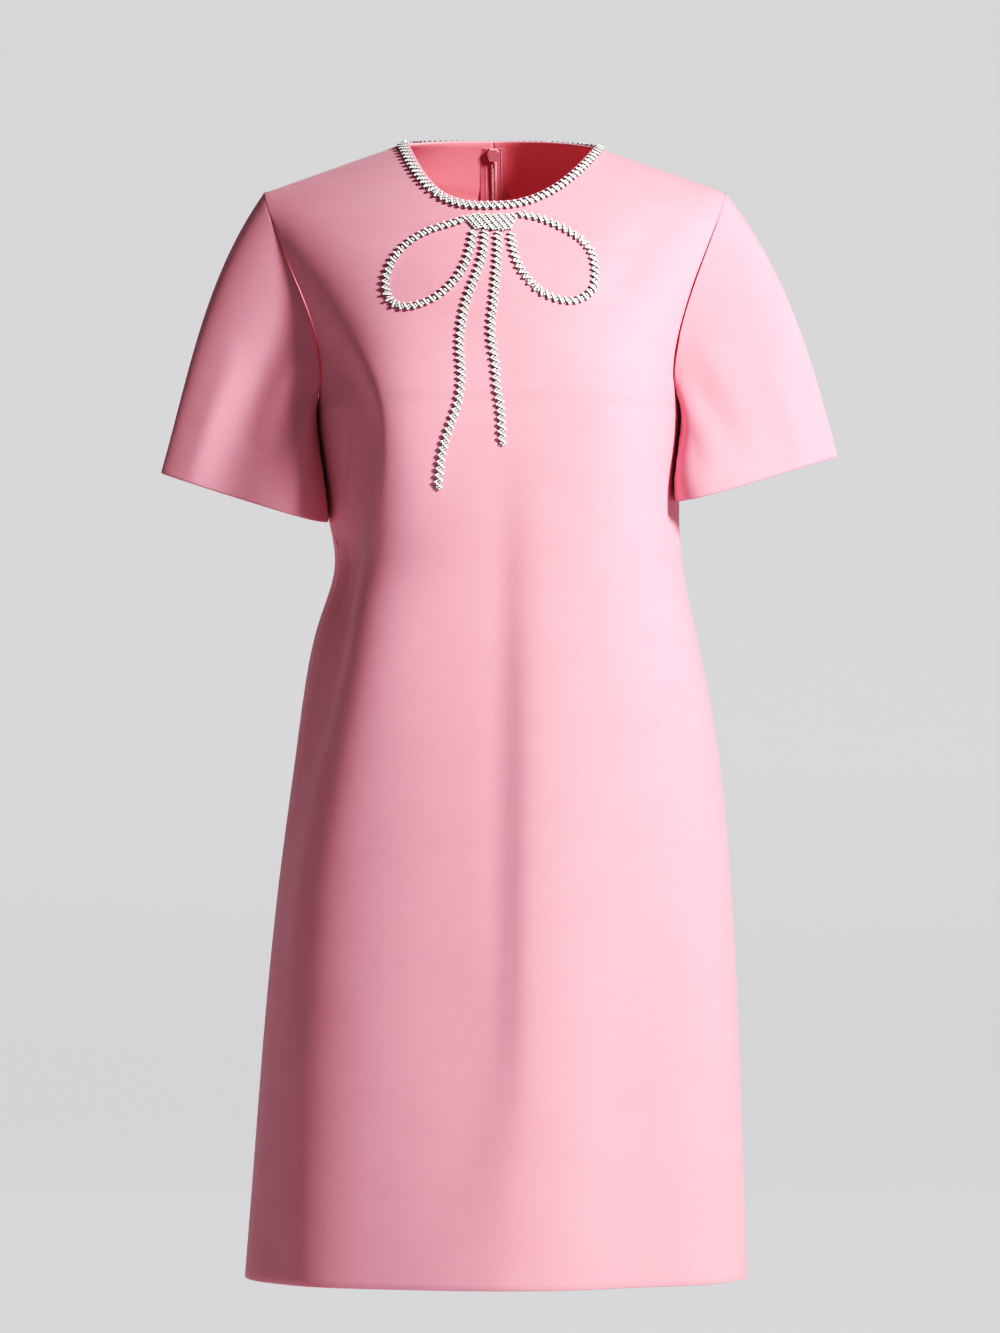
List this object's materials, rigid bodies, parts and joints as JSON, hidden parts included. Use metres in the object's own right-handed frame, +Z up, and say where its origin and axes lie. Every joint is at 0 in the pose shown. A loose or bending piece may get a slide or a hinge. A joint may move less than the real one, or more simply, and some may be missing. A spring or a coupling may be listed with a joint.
{
  "type": "shift dress",
  "caption": "Knee-length shift dress with short set-in sleeves, a round neck edged in a raised stone band, a flat bow of the same band, and a back zip.",
  "frame": {"origin": "middle of the neck hole, at the height where the shoulder seams meet the neck", "axes": "+Z up as worn, -Y out of the front, +X to the right as seen from the front"},
  "size_m": [0.5371, 0.2798, 0.9201],
  "materials": {
    "pink_cloth": "smooth heavy crepe, soft sheen",
    "stone_trim": "clear faceted stones in silver-coloured settings",
    "zip_tape": "woven zip tape and coil, dyed to match",
    "painted_zip": "gloss paint, matched to the cloth"
  },
  "bodies": {
    "dress": {"front": "pink_cloth", "back_left": "pink_cloth", "back_right": "pink_cloth", "sleeve_left": "pink_cloth", "sleeve_right": "pink_cloth", "neck_trim": "stone_trim", "bow_knot": "stone_trim", "bow_loop_left": "stone_trim", "bow_loop_right": "stone_trim", "bow_tail_left": "stone_trim", "bow_tail_right": "stone_trim", "zip_tape_left": "zip_tape", "zip_tape_right": "zip_tape", "zip_slider": "painted_zip"},
    "pull": {"zip_pull": "painted_zip"}
  },
  "joints": [
    {"name": "zip_pull_swing", "type": "hinge", "parent": "dress", "child": "pull", "pos_m": [-0.00567, 0.06413, 0.00041], "axis": [1, 0, 0], "range_deg": [0, 150]}
  ]
}
